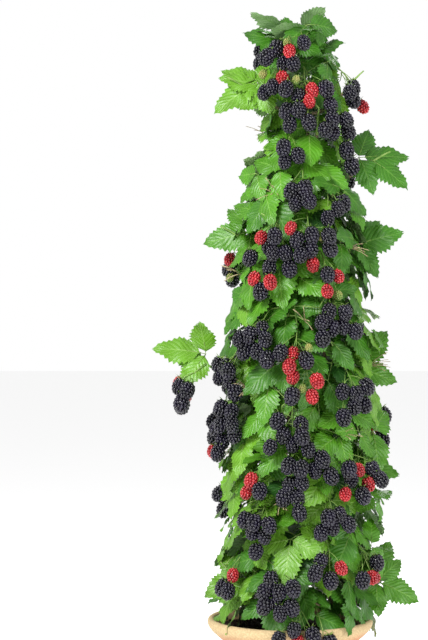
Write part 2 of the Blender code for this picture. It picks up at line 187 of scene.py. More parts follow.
def mixColour(tree, factor, first, second, blend="MIX"):
    inputs = {0: factor, 6: first, 7: second}  # the sockets of a colour mix
    return addNode(tree, "Mix", inputs, data_type="RGBA", blend_type=blend).outputs[2]


def stretched(tree, value, low, high):  # 0 at low, 1 at high
    return addNode(tree, "MapRange", {0: value, 1: low, 2: high}).outputs[0]


def ramp(tree, factor, stops):
    node = addNode(tree, "ValToRGB", {0: factor})
    while len(node.color_ramp.elements) < len(stops):
        node.color_ramp.elements.new(0.5)
    for element, (place, colour) in zip(node.color_ramp.elements, stops):
        element.position = place
        element.color = (*colour, 1)
    return node.outputs[0]


def bumpOf(tree, height, strength, distance):
    inputs = {"Strength": strength, "Distance": distance, "Height": height}
    return addNode(tree, "Bump", inputs).outputs[0]


def noiseOf(tree, scale, detail):
    place = addNode(tree, "TexCoord").outputs["Object"]
    return addNode(tree, "TexNoise", {"Vector": place, "Scale": scale, "Detail": detail}).outputs[0]


leafVeins = {
    "pairs": 8.0,
    "slant": -0.30,
    "sideVein": (0.84, 0.97),  # from leaf to vein
    "midrib": (0.075, 0.03),
    "pleat": -0.8,
    "crinkle": 0.5,
    "crinkleScale": 34.0,
}


def veinGroup():
    group = bpy.data.node_groups.new("leaf veins", "ShaderNodeTree")
    for name in ("Vein", "Height"):
        group.interface.new_socket(name, in_out="OUTPUT", socket_type="NodeSocketFloat")
    place = addNode(group, "UVMap", uv_map="leafUv").outputs[0]
    parts = addNode(group, "SeparateXYZ", {0: place})
    along, across = parts.outputs[0], parts.outputs[1]
    side = calculate(group, "ABSOLUTE", calculate(group, "MULTIPLY_ADD", across, 2.0, -1.0))
    slanted = calculate(group, "MULTIPLY_ADD", side, leafVeins["slant"], along)
    phase = calculate(group, "FRACT", calculate(group, "MULTIPLY", slanted, leafVeins["pairs"]))
    offset = calculate(group, "ABSOLUTE", calculate(group, "SUBTRACT", phase, 0.5))
    ridge = calculate(group, "MULTIPLY", offset, 2.0)
    lateral = stretched(group, ridge, *leafVeins["sideVein"])
    midrib = stretched(group, side, *leafVeins["midrib"])
    vein = calculate(group, "MAXIMUM", lateral, midrib)
    grain = {"Vector": place, "Scale": leafVeins["crinkleScale"], "Detail": 2.0}
    crinkle = calculate(group, "MULTIPLY", addNode(group, "TexNoise", grain).outputs[0], leafVeins["crinkle"])
    height = calculate(group, "ADD", calculate(group, "MULTIPLY", ridge, leafVeins["pleat"]), crinkle)
    out = group.nodes.new("NodeGroupOutput")
    group.links.new(vein, out.inputs[0])
    group.links.new(height, out.inputs[1])
    return group


veins = veinGroup()
leafSkin = {"patchScale": 14.0, "shade": 0.72, "veinFront": 0.5, "veinBack": 0.6, "bump": (0.55, 0.0016)}


def leafMaterial(name, colour, veinColour, backColour, roughness):
    material, tree, shader = newMaterial(name, Roughness=roughness)
    group = addNode(tree, "Group", node_tree=veins)
    vein, height = group.outputs["Vein"], group.outputs["Height"]
    shade = tuple(c * leafSkin["shade"] for c in colour)
    patches = ramp(tree, noiseOf(tree, leafSkin["patchScale"], 3.0), ((0.34, shade), (0.66, colour)))
    front = mixColour(tree, calculate(tree, "MULTIPLY", vein, leafSkin["veinFront"]), patches, veinColour)
    back = mixColour(tree, calculate(tree, "MULTIPLY", vein, leafSkin["veinBack"]), backColour, veinColour)
    backfacing = addNode(tree, "NewGeometry").outputs["Backfacing"]
    tree.links.new(mixColour(tree, backfacing, front, back), shader.inputs["Base Color"])
    tree.links.new(bumpOf(tree, height, *leafSkin["bump"]), shader.inputs["Normal"])
    return material


leafLooks = {  # colour, veins, underside, roughness
    "leafBright": ((0.085, 0.29, 0.012), (0.22, 0.46, 0.07), (0.24, 0.40, 0.16), 0.36),
    "leafMiddle": ((0.050, 0.20, 0.010), (0.15, 0.35, 0.05), (0.20, 0.34, 0.14), 0.38),
    # The darkest green, with darker veins and underside, is a shaded copy of the leaf greens: painted shade
    # for the leaves deep inside the column.
    "leafPaintedShade": ((0.022, 0.105, 0.012), (0.07, 0.21, 0.04), (0.13, 0.24, 0.11), 0.42),
    "leafYoung": ((0.15, 0.38, 0.022), (0.30, 0.52, 0.12), (0.30, 0.46, 0.20), 0.36),
}
leafMaterials = {name: leafMaterial(name, *look) for name, look in leafLooks.items()}


def fruitMaterial(name, dark, light, roughness, coat):
    material, tree, shader = newMaterial(name, Roughness=roughness, Coat_Weight=coat, Coat_Roughness=0.06)
    colour = ramp(tree, noiseOf(tree, 55.0, 2.0), ((0.38, dark), (0.68, light)))
    tree.links.new(colour, shader.inputs["Base Color"])
    return material


fruitMaterials = {  # dark patches, light patches, roughness, coat
    "ripe": fruitMaterial("ripeFruit", (0.0025, 0.0025, 0.006), (0.012, 0.009, 0.026), 0.20, 0.35),
    "red": fruitMaterial("redFruit", (0.30, 0.008, 0.014), (0.56, 0.028, 0.034), 0.26, 0.35),
    "green": fruitMaterial("unripeFruit", (0.14, 0.26, 0.04), (0.36, 0.34, 0.10), 0.4, 0.2),
}


def stalkMaterial(name, dark, light, scale, roughness):
    material, tree, shader = newMaterial(name, Roughness=roughness)
    grain = noiseOf(tree, scale, 4.0)
    tree.links.new(ramp(tree, grain, ((0.35, dark), (0.7, light))), shader.inputs["Base Color"])
    tree.links.new(bumpOf(tree, grain, 0.4, 0.0006), shader.inputs["Normal"])
    return material


stalkMaterials = {  # dark grain, light grain, scale of the grain, roughness
    "green": stalkMaterial("greenStalk", (0.11, 0.24, 0.03), (0.28, 0.42, 0.10), 60.0, 0.55),
    "straw": stalkMaterial("strawStalk", (0.33, 0.25, 0.12), (0.62, 0.52, 0.32), 80.0, 0.8),
    "bark": stalkMaterial("caneBark", (0.13, 0.095, 0.055), (0.47, 0.37, 0.22), 38.0, 0.75),
}
clay = {
    "band": (0.225, 0.290),  # heights between which the body's orange turns to the rim's buff
    "cloudShift": 0.035,
    "colours": ((0.0, (0.50, 0.19, 0.085)), (0.42, (0.58, 0.27, 0.13)), (0.78, (0.66, 0.50, 0.27))),
    "specks": ((0.42, (0.82, 0.80, 0.78)), (0.62, (1.0, 1.0, 1.0))),
}


def potMaterial():
    material, tree, shader = newMaterial("terracotta", Roughness=0.82)
    place = addNode(tree, "TexCoord").outputs["Object"]
    height = addNode(tree, "SeparateXYZ", {0: place}).outputs[2]
    clouds = calculate(tree, "SUBTRACT", noiseOf(tree, 9.0, 5.0), 0.5)
    level = calculate(tree, "MULTIPLY_ADD", clouds, clay["cloudShift"], height)
    body = ramp(tree, stretched(tree, level, *clay["band"]), clay["colours"])
    specks = ramp(tree, noiseOf(tree, 240.0, 2.0), clay["specks"])
    tree.links.new(mixColour(tree, 1.0, body, specks, "MULTIPLY"), shader.inputs["Base Color"])
    tree.links.new(bumpOf(tree, noiseOf(tree, 180.0, 4.0), 0.35, 0.0008), shader.inputs["Normal"])
    return material


def soilMaterial():
    material, tree, shader = newMaterial("pottingSoil", Roughness=0.95)
    grain = noiseOf(tree, 150.0, 5.0)
    stops = ((0.3, (0.012, 0.008, 0.006)), (0.55, (0.050, 0.030, 0.020)), (0.78, (0.15, 0.095, 0.06)))
    tree.links.new(ramp(tree, grain, stops), shader.inputs["Base Color"])
    tree.links.new(bumpOf(tree, grain, 0.8, 0.002), shader.inputs["Normal"])
    return material


print("materials made")


def addPiece(name, mesh, material, nodes, smooth=True):
    mesh.polygons.foreach_set("use_smooth", [smooth] * len(mesh.polygons))
    mesh.materials.append(material)
    piece = bpy.data.objects.new(name, mesh)
    bpy.context.scene.collection.objects.link(piece)
    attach(piece, "root")
    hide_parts(*nodes)
    return piece


# Many copies of small shapes joined in one mesh, each placed by a matrix
class Gathered:
    def __init__(self):
        self.points, self.faces, self.places, self.count = [], [], [], 0

    def add(self, shape, matrix=Matrix.Identity(4)):
        points, faces, places = shape
        turn = np.array(matrix.to_3x3())
        self.points.append(points @ turn.T + np.array(matrix.translation))
        self.faces.extend([tuple(i + self.count for i in face) for face in faces])
        self.places.append(places)
        self.count += len(points)

    def tube(self, path, radii, sides):
        self.add(tubeShape(path, radii, sides))

    def piece(self, name, material, slotName, nodes, smooth=True):
        points = np.concatenate(self.points)
        places = np.concatenate(self.places)
        mesh = bpy.data.meshes.new(name)
        mesh.from_pydata(points.tolist(), [], self.faces)
        layer = mesh.uv_layers.new(name="leafUv")
        loops = np.empty(len(mesh.loops), dtype=np.int32)
        mesh.loops.foreach_get("vertex_index", loops)
        layer.data.foreach_set("uv", places[loops].ravel())
        addPiece(name, mesh, material, nodes, smooth)
        triangles = sum(len(face) - 2 for face in self.faces)
        print(f"{name}: {triangles} triangles")


# A shape is its points, its faces and each point's place on the leaf
def tubeShape(path, radii, sides):
    points, faces = [], []
    normal = None
    for i, point in enumerate(path):
        ahead = path[min(i + 1, len(path) - 1)] - path[max(i - 1, 0)]
        ahead = ahead.normalized()
        if normal is None:
            normal = ahead.orthogonal().normalized()
        normal = (normal - ahead * normal.dot(ahead)).normalized()
        other = ahead.cross(normal)
        for k in range(sides):
            angle = 2 * math.pi * k / sides
            points.append(point + (normal * math.cos(angle) + other * math.sin(angle)) * radii[i])
    for i in range(len(path) - 1):
        for k in range(sides):
            a, b = i * sides + k, i * sides + (k + 1) % sides
            faces.append((a, b, b + sides, a + sides))
    faces.append(tuple(reversed(range(sides))))
    faces.append(tuple(range(len(points) - sides, len(points))))
    return np.array([tuple(p) for p in points]), faces, np.zeros((len(points), 2))


def meshShape(mesh):  # takes the mesh over and frees it
    mesh.verts.index_update()
    points = np.array([tuple(v.co) for v in mesh.verts])
    faces = [tuple(v.index for v in f.verts) for f in mesh.faces]
    mesh.free()
    return points, faces, np.zeros((len(points), 2))


def arc(start, end, bend, steps):
    middle = (start + end) / 2 + bend
    shares = np.linspace(0, 1, steps)
    return [start * (1 - t) ** 2 + middle * 2 * t * (1 - t) + end * t * t for t in shares]


# Leaflet: a serrated, pleated blade along +X, its face towards +Z
leafBlade = {
    "rows": 19,
    "columns": (-1.0, -0.55, 0.0, 0.55, 1.0),
    "width": 0.74,
    "least": 0.004,  # half width at the foot and tip
    "narrowing": 0.22,
    "teeth": 0.10,
    "toothLean": 0.02,
    "lobe": 0.035,
    "fold": 0.16,
    "foldSwing": (0.5, 1.4),
    "arch": 0.20,
    "archSwing": (0.6, 1.5),
    "droop": 0.8,
    "cup": 0.9,
    "wave": 0.03,
    "bend": 0.10,
}


def leafletShape(seed):
    shapeDice = random.Random(seed)
    arch = leafBlade["arch"] * shapeDice.uniform(*leafBlade["archSwing"])
    fold = leafBlade["fold"] * shapeDice.uniform(*leafBlade["foldSwing"])
    bend = shapeDice.uniform(-leafBlade["bend"], leafBlade["bend"])
    points, places, faces = [], [], []
    rowCount, width = leafBlade["rows"], len(leafBlade["columns"])
    for i in range(rowCount + 1):
        u = i / rowCount
        swell = math.sin(math.pi * u**0.78) ** 0.80
        half = max(0.5 * leafBlade["width"] * swell * (1 - leafBlade["narrowing"] * u), leafBlade["least"])
        tooth = 1 + leafBlade["teeth"] * (1 if i % 2 else -1) * (0 < i < rowCount)
        for v in leafBlade["columns"]:
            edge = abs(v) > 0.9
            y = half * v * (tooth if edge else 1)
            x = u + leafBlade["lobe"] * abs(v) + (leafBlade["toothLean"] if edge and i % 2 else 0)
            z = fold * abs(y) - arch * u * u * leafBlade["droop"] - leafBlade["cup"] * y * y
            z += leafBlade["wave"] * abs(v) * math.sin(u * 15 + (2 if v > 0 else 0) + seed)
            points.append((x * 0.97, y + bend * u * u, z))
            places.append((u, 0.5 + 0.5 * v))
    for i in range(rowCount):
        for k in range(width - 1):
            a = i * width + k
            faces.append((a, a + width, a + width + 1, a + 1))
    return np.array(points), faces, np.array(places)


leafletShapes = [leafletShape(seed) for seed in range(6)]

# Fruit: drupelets in staggered rings on an egg-shaped core, hanging along +Z, 1 long and 1 wide
fruitBuild = {
    "rings": 7,
    "across": 11,  # drupelets in the widest ring
    "drupelet": 0.118,
    "girth": 0.42,  # radius of the widest ring
    "halfLength": 0.46,
    "core": (0.37, 0.44),  # radius and half length
    "tip": 0.93,
    "sizes": (0.90, 1.10),
    "turnSwing": 0.06,  # radians
    "heightSwing": 0.012,
}


def fruitShape(seed, loose=1.0):
    shapeDice = random.Random(seed)
    mesh = bmesh.new()
    bmesh.ops.create_uvsphere(mesh, u_segments=8, v_segments=6, radius=1.0)
    coreRadius, coreLength = fruitBuild["core"]
    for vert in mesh.verts:
        vert.co = (vert.co.x * coreRadius, vert.co.y * coreRadius, 0.5 + vert.co.z * coreLength)
    for ring in range(fruitBuild["rings"]):
        share = (ring + 0.55) / fruitBuild["rings"]
        angle = math.pi * (0.10 + 0.88 * share)
        radius = fruitBuild["girth"] * math.sin(angle) ** 0.9
        z = 0.5 - fruitBuild["halfLength"] * math.cos(angle)
        count = max(1, round(fruitBuild["across"] * radius / fruitBuild["girth"]))
        for k in range(count):
            turnSwing, heightSwing = fruitBuild["turnSwing"], fruitBuild["heightSwing"]
            turn = 2 * math.pi * (k + 0.5 * (ring % 2)) / count + shapeDice.uniform(-turnSwing, turnSwing)
            size = fruitBuild["drupelet"] * shapeDice.uniform(*fruitBuild["sizes"]) * loose
            height = z + shapeDice.uniform(-heightSwing, heightSwing)
            centre = Vector((radius * math.cos(turn), radius * math.sin(turn), height))
            made = bmesh.ops.create_icosphere(mesh, subdivisions=1, radius=size)["verts"]
            spin = Matrix.Rotation(shapeDice.uniform(0, 6.28), 3, "Z")
            for vert in made:
                vert.co = spin @ vert.co + centre
    tip = bmesh.ops.create_icosphere(mesh, subdivisions=1, radius=fruitBuild["drupelet"])["verts"]
    for vert in tip:
        vert.co.z += fruitBuild["tip"]
    bmesh.ops.triangulate(mesh, faces=mesh.faces)
    return meshShape(mesh)


calyxBuild = {
    "sepals": 5,
    "crown": 0.04,
    "sepal": ((-0.42, 0.20, 0.03), (0.0, 0.52, -0.10), (0.42, 0.20, 0.03)),  # turn, reach, height
}


def calyxShape():
    points, faces = [(0, 0, calyxBuild["crown"])], []
    for k in range(calyxBuild["sepals"]):
        a = 2 * math.pi * k / calyxBuild["sepals"]
        for turn, reach, z in calyxBuild["sepal"]:
            points.append((reach * math.cos(a + turn), reach * math.sin(a + turn), z))
        n = 1 + 3 * k
        faces += [(0, n, n + 1), (0, n + 1, n + 2)]
    return np.array(points), faces, np.zeros((len(points), 2))


fruitShapes = {
    "ripe": [fruitShape(seed) for seed in range(4)],
    "red": [fruitShape(seed + 9, 0.95) for seed in range(3)],
}
fruitShapes["green"] = fruitShapes["red"]
calyx = calyxShape()
print("leaf and fruit shapes made")

# Growth
leafHeaps = {name: Gathered() for name in leafMaterials}
fruitHeaps = {name: Gathered() for name in fruitMaterials}
greenStalks, strawStalks, sepals = Gathered(), Gathered(), Gathered()
leafCentres, fruitCentres = [], []
stems = {name: [] for name in hearts}  # points that a stalk can start from
stalkBuild = {"steps": 5, "sides": 5, "rise": 0.10, "outward": 0.05, "foot": 1.25, "thinning": 0.5}


def nearestHeart(point):
    return min(hearts, key=lambda name: (point - hearts[name]).length)


# A stalk from the nearest stem of the mass, which other stalks can start from in turn
def stalkFrom(mass, goal, radius):
    foot = min(stems[mass], key=lambda p: (p - goal).length)
    length = (goal - foot).length
    aside = outward(math.degrees(math.atan2(goal.y, goal.x)))
    bend = up * length * stalkBuild["rise"] + aside * length * stalkBuild["outward"]
    steps = stalkBuild["steps"]
    path = arc(foot, goal, bend, steps)
    radii = [radius * (stalkBuild["foot"] - stalkBuild["thinning"] * i / (steps - 1)) for i in range(steps)]
    greenStalks.tube(path, radii, stalkBuild["sides"])
    stems[mass].append(path[steps // 2])


def farFrom(point, others, distance):
    if not others:
        return True
    return float(np.min(np.sum((np.array(others) - np.array(point)) ** 2, axis=1))) > distance**2


def frameMatrix(origin, direction, normal, length):
    x = direction.normalized()
    y = normal.cross(x).normalized()
    z = x.cross(y)
    matrix = Matrix((x * length, y * length, z * length)).transposed().to_4x4()
    matrix.translation = origin
    return matrix


def squareTo(direction, facing):  # the normal of a blade along direction that looks most towards facing
    return facing.cross(direction).cross(-direction).normalized()


leafGrowth = {
    "leaflet": 0.106,  # length of the middle leaflet, before "sizes"
    "sizes": (0.80, 1.08),
    "outer": 360,
    "inner": 150,
    "spacing": 0.032,
    "spread": 68,  # degrees from the middle leaflet to the side ones
    "swing": 8,
    "tilt": 14,
    "sideShare": 0.84,
    "middleStalk": 0.012,
    "sideStalk": 0.004,
    "fruitRoom": 0.040,
    "soilRoom": 0.035,
    "stalk": 0.0012,
    "leafletStalk": (0.0011, 0.0006),
}


def placeLeaf(look, goal, direction, normal, mass, spacing, leastCount, limit):
    size = leafGrowth["leaflet"] * dice.uniform(*leafGrowth["sizes"])
    spread, swing, sideShare = leafGrowth["spread"], leafGrowth["swing"], leafGrowth["sideShare"]
    firstSide, secondSide = spread + dice.uniform(-swing, swing), -spread + dice.uniform(-swing, swing)
    made = []
    for turn, share in ((0, 1.0), (firstSide, sideShare), (secondSide, sideShare)):
        way = Matrix.Rotation(math.radians(turn), 3, normal) @ direction
        tilt = math.radians(dice.uniform(-leafGrowth["tilt"], leafGrowth["tilt"]))
        face = Matrix.Rotation(tilt, 3, way) @ normal
        root = goal + way * (leafGrowth["middleStalk"] if turn == 0 else leafGrowth["sideStalk"])
        centre = root + way * size * share * 0.5
        end = root + way * size * share
        if (end - columnMiddle(end.z)).xy.length > limit or end.z > plant["top"]:
            continue
        overPot = (centre - columnMiddle(centre.z)).xy.length < rimRadius
        if overPot and centre.z < soilTop + leafGrowth["soilRoom"]:
            continue
        if farFrom(centre, leafCentres, spacing) and farFrom(centre, fruitCentres, leafGrowth["fruitRoom"]):
            made.append((root, way, face, size * share, centre))
    if len(made) < leastCount:
        return 0
    stalkFrom(mass, goal, leafGrowth["stalk"])
    for root, way, face, length, centre in made:
        leafHeaps[look].add(dice.choice(leafletShapes), frameMatrix(root, way, face, length))
        greenStalks.tube([goal, root + way * 0.3 * length], leafGrowth["leafletStalk"], 4)
        leafCentres.append(tuple(centre))
    return len(made)


fruitGrowth = {
    "length": 0.039,
    "width": 0.034,
    "spacing": 0.0285,
    "scales": {"ripe": 1.0, "red": 0.86, "green": 0.55},
    "redShare": 0.17,
    "greenChance": 0.4,
    "otherTrusses": 46,
    "trussSpacing": 0.085,
    "backFrom": 0.045,  # the other trusses hang behind this depth
    "topRoom": 0.03,
}
trussBuild = {
    "sink": 0.010,  # into the leaves
    "start": (0.035, 0.030),  # further in, higher up
    "end": (0.004, 0.012),  # further out, lower down
    "bow": 0.012,
    "stalk": 0.0014,
    "radii": (0.0014, 0.0013, 0.0012, 0.0010, 0.0008),
    "fruitStalk": (0.0010, 0.0009, 0.0009, 0.0012),
    "fruitBow": 0.006,
    "tries": 40,
    "spread": (0.016, 0.0011),  # at the first try, and added at each further one
    "widening": 1.25,
    "drop": (-1.5, 0.7),
    "depth": (0.0, 0.018),
    "hang": 0.9,
    "splay": 0.35,
    "outSplay": (0.05, 0.5),
    "sizes": (0.92, 1.06),
}
frontTrusses = (  # to the right of the pot's middle, height, number of fruit, how many of them red
    (-0.012, 1.615, 6, 1),
    (-0.040, 1.549, 3, 1),
    (0.030, 1.525, 7, 2),
    (0.135, 1.540, 4, 1),
    (0.007, 1.470, 3, 0),
    (0.092, 1.450, 5, 0),
    (0.120, 1.385, 2, 0),
    (-0.012, 1.381, 3, 0),
    (0.023, 1.291, 4, 0),
    (0.092, 1.265, 3, 0),
    (-0.045, 1.185, 8, 1),
    (0.035, 1.190, 8, 2),
    (-0.064, 1.085, 3, 2),
    (0.075, 1.105, 3, 2),
    (0.099, 1.017, 7, 0),
    (-0.074, 0.974, 7, 0),
    (0.005, 0.932, 4, 2),
    (-0.143, 0.898, 6, 0),
    (0.030, 0.868, 4, 3),
    (0.133, 0.854, 6, 0),
    (-0.239, 0.850, 6, 2),
    (-0.138, 0.799, 6, 0),
    (-0.005, 0.773, 7, 0),
    (-0.156, 0.725, 4, 1),
    (0.041, 0.700, 5, 0),
    (0.143, 0.665, 8, 3),
    (-0.080, 0.650, 3, 2),
    (-0.005, 0.640, 5, 0),
    (0.087, 0.571, 5, 0),
    (-0.074, 0.553, 6, 0),
    (0.081, 0.478, 4, 1),
    (0.175, 0.454, 4, 2),
    (-0.143, 0.424, 3, 1),
    (-0.037, 0.410, 8, 0),
    (0.014, 0.325, 5, 1),
    (0.067, 0.300, 1, 0),
)


def placeTruss(place, count, reds):
    away = (place - columnMiddle(place.z)).normalized()
    around = up.cross(away)
    mass = nearestHeart(place)
    place = place - away * trussBuild["sink"]
    start = place - away * trussBuild["start"][0] + up * trussBuild["start"][1]
    end = place + away * trussBuild["end"][0] - up * trussBuild["end"][1]
    stalkFrom(mass, start, trussBuild["stalk"])
    greenStalks.tube(arc(start, end, away * trussBuild["bow"], 5), trussBuild["radii"], 5)
    kinds = ["red"] * reds + ["ripe"] * (count - reds)
    if reds and dice.random() < fruitGrowth["greenChance"]:
        kinds.append("green")
    dice.shuffle(kinds)
    for kind in kinds:
        scale = fruitGrowth["scales"][kind] * dice.uniform(*trussBuild["sizes"])
        room = fruitGrowth["spacing"] * (0.6 + 0.4 * scale)
        for attempt in range(trussBuild["tries"]):
            spread = trussBuild["spread"][0] + trussBuild["spread"][1] * attempt
            side, drop = dice.uniform(-1, 1), dice.uniform(*trussBuild["drop"])
            depth, lean = dice.uniform(*trussBuild["depth"]), dice.uniform(*trussBuild["outSplay"])
            top = end + around * side * spread * trussBuild["widening"] + up * drop * spread + away * depth
            way = -up * trussBuild["hang"] + around * side * trussBuild["splay"] + away * lean
            way = way.normalized()
            length = fruitGrowth["length"] * scale
            centre = top + way * length * 0.5
            if centre.z > plant["top"] - fruitGrowth["topRoom"]:
                continue
            if farFrom(centre, fruitCentres, room):
                break
        else:
            continue  # no room for this one
        fruitCentres.append(tuple(centre))
        spin = Matrix.Rotation(dice.uniform(0, 6.28), 4, "Z")
        width = fruitGrowth["width"] * scale
        matrix = Matrix.Translation(top) @ way.to_track_quat("Z", "Y").to_matrix().to_4x4()
        matrix = matrix @ Matrix.Diagonal((width, width, length, 1)) @ spin
        fruitHeaps[kind].add(dice.choice(fruitShapes[kind]), matrix)
        sepals.add(calyx, matrix)
        foot = end.lerp(start, dice.uniform(0.0, 0.7))
        greenStalks.tube(arc(foot, top, up * trussBuild["fruitBow"], 4), trussBuild["fruitStalk"], 4)


strawGrowth = {  # stalks that have lost their fruit
    "trusses": 16,
    "heights": (0.55, 1.45),
    "stalk": 0.0012,
    "radii": (0.0011, 0.0009, 0.0008, 0.0010),
    "knob": 0.007,
    "sink": 0.03,
    "count": (4, 7),
    "out": (0.0, 0.02),
    "aside": (-0.03, 0.03),
    "rise": (-0.02, 0.035),
    "bow": 0.006,
}


def placeStraw(place):
    away = (place - columnMiddle(place.z)).normalized()
    around = up.cross(away)
    mass = nearestHeart(place)
    start = place - away * strawGrowth["sink"]
    stalkFrom(mass, start, strawGrowth["stalk"])
    for _ in range(dice.randint(*strawGrowth["count"])):
        out, aside, rise = [dice.uniform(*strawGrowth[key]) for key in ("out", "aside", "rise")]
        end = place + away * out + around * aside + up * rise
        strawStalks.tube(arc(start, end, up * strawGrowth["bow"], 4), strawGrowth["radii"], 4)
        strawStalks.add(calyx, Matrix.Translation(end) @ Matrix.Diagonal((*[strawGrowth["knob"]] * 3, 1)))


def frontPlace(x, z):
    middle = columnMiddle(z)
    across = x - middle.x
    depth = math.sqrt(max(columnRadius(z) ** 2 - across**2, 0.04**2))
    return middle + Vector((across, -depth, 0))


# Canes and boughs with bark relief
caneBuild = {"steps": 70, "sides": 14, "relief": 0.0007, "knots": 0.0012, "knotTurns": 62}
boughBuild = {
    "steps": 12,
    "sides": 10,
    "relief": 0.0005,
    "radius": 0.0046,
    "thinning": 0.0012,
    "rootDrop": 0.045,  # from the heart down to the cane
    "soilRoom": 0.040,
    "knee": 0.4,
    "sag": 0.004,
    "stemFrom": 7,  # the first step that leaf stalks can start from
    "lead": 0.07,  # length of the green shoot beyond the bough
    "leadRadii": (0.0034, 0.0031, 0.0028, 0.0024, 0.0020, 0.0014),
}
barkGrain = {"knobbly": 260, "streaks": (700, 700, 60), "streakShare": 0.6}


def barkTube(path, radii, sides, relief):
    shape = tubeShape(path, radii, sides)
    points = shape[0]
    for i, point in enumerate(points):
        centre = np.array(path[i // sides])
        arm = point - centre
        streaks = Vector([place * scale for place, scale in zip(point, barkGrain["streaks"])])
        rough = noise.noise(Vector(point) * barkGrain["knobbly"])
        rough = rough + barkGrain["streakShare"] * noise.noise(streaks)
        points[i] = centre + arm * (1 + relief * rough / max(np.linalg.norm(arm), 0.001))
    barkHeap.add(shape)


# The point on a cane, a little below the heart, that lies furthest towards it
def boughRoot(heart, toward):
    rootZ = max(heart.z - boughBuild["rootDrop"], soilTop + boughBuild["soilRoom"])
    options = []
    for cane, (_, top, _) in canes.items():
        share = (rootZ - soilTop) / (top[2] - soilTop)
        if 0 < share < 0.98:
            options.append(canePoint(cane, share))
    return max(options, key=lambda point: point.dot(toward))


barkHeap = Gathered()
for name in canes:
    shares = [i / caneBuild["steps"] for i in range(caneBuild["steps"] + 1)]
    swells = [caneBuild["knots"] * max(0, math.sin(s * caneBuild["knotTurns"])) ** 8 for s in shares]
    radii = [caneRadius(name, s) + swell * (s > 0.02) for s, swell in zip(shares, swells)]  # none at the foot
    barkTube([canePoint(name, s) for s in shares], radii, caneBuild["sides"], caneBuild["relief"])
for name, places in shoots.items():
    heart = hearts[name]
    if name == "top":
        stems[name] += [canePoint("cane_main", s) for s in (0.90, 0.93, 0.96, 1.0)]
        path = arc(heart, heart + Vector((0.0, 0.0, 0.075)), Vector((0.004, 0, 0)), 6)
    else:
        toward = outward(places[0])
        root = boughRoot(heart, toward)
        knee = root + (heart - root).length * boughBuild["knee"] * toward
        steps = boughBuild["steps"]
        path = arc(root, heart, knee - (root + heart) / 2 - up * boughBuild["sag"], steps)
        radii = [boughBuild["radius"] - boughBuild["thinning"] * i / (steps - 1) for i in range(steps)]
        barkTube(path, radii, boughBuild["sides"], boughBuild["relief"])
        stems[name] += path[boughBuild["stemFrom"]:]
        lead = (path[-1] - path[-2]).normalized() * boughBuild["lead"]
        path = arc(heart, heart + lead, up * 0.006, 6)
    greenStalks.tube(path, boughBuild["leadRadii"], 7)
    stems[name] += path
print("canes and boughs made")

for x, z, count, reds in frontTrusses:
    placeTruss(frontPlace(x, z), count, reds)
frontPlaces = [frontPlace(x, z) for x, z, _, _ in frontTrusses]
for azimuth, z in spiral(fruitGrowth["otherTrusses"], 70.0):
    place = columnMiddle(z) + outward(azimuth) * columnRadius(z)
    clear = all((place - other).length > fruitGrowth["trussSpacing"] for other in frontPlaces)
    if place.y > fruitGrowth["backFrom"] and clear:
        count = dice.randint(4, 7)
        placeTruss(place, count, sum(dice.random() < fruitGrowth["redShare"] for _ in range(count)))
for azimuth, z in spiral(strawGrowth["trusses"], 250.0, *strawGrowth["heights"]):
    placeStraw(columnMiddle(z) + outward(azimuth) * (columnRadius(z) - 0.005))
print("fruit placed:", len(fruitCentres))

# Each spray has a green of its own, which most of its leaves share
sprayLooks = {}
for name in hearts:
    sprayLooks[name] = dice.choice(("leafBright", "leafMiddle", "leafBright", "leafMiddle", "leafYoung"))
tipLeaves = {
    "spacing": 0.02,
    "stalk": 0.014,
    "slack": 0.004,  # how far a tip may pass its reach
    "topLift": 0.04,
    "droop": 0.22,
    "topDroop": 0.05,
    "facing": (0.55, 0.9),  # upwards, to the nearer of front and back
}
for name, places in longShoots.items():
    onTop = name == "top"
    droop = tipLeaves["topDroop"] if onTop else tipLeaves["droop"]
    for azimuth, z, reach in places[2:]:
        tip = columnMiddle(z) + outward(azimuth) * reach
        root = hearts[name] + up * tipLeaves["topLift"] if onTop else hearts[name]
        direction = ((tip - root).normalized() - droop * up).normalized()
        lookout = outward(270 if math.sin(math.radians(azimuth)) < 0.5 else 90)
        normal = squareTo(direction, tipLeaves["facing"][0] * up + tipLeaves["facing"][1] * lookout)
        goal = tip - direction * (leafGrowth["leaflet"] + tipLeaves["stalk"])
        limit = reach + tipLeaves["slack"]
        placeLeaf(sprayLooks[name], goal, direction, normal, name, tipLeaves["spacing"], 1, limit)

outerLook = {"depth": (0.010, 0.060), "looks": ("leafBright", "leafMiddle", "leafYoung")}
# The inner layer mostly takes the darkest green, which is painted shade inside the column on top of the real
# depth.
innerLook = {"depth": (0.070, 0.110), "looks": ("leafPaintedShade", "leafPaintedShade", "leafMiddle")}
columnLeaves = {
    "tries": 10,
    "turnSwing": 9,  # degrees
    "heights": (-0.02, 0.045),
    "outward": 0.45,
    "droop": (0.0, 1.0),
    "faceOut": 0.9,
    "faceUp": (0.3, 1.0),
    "faceAside": (-0.35, 0.35),
    "ownGreen": 0.6,  # share of the leaves in their spray's own green
    "overhang": 0.018,
}
topLeaves = {
    "count": 14,
    "foot": 1.585,
    "rise": 0.065,
    "radius": 0.022,
    "spacing": 0.022,
    "reach": 0.125,
    "lean": (-0.1, 0.7),
    "outward": 0.8,
}


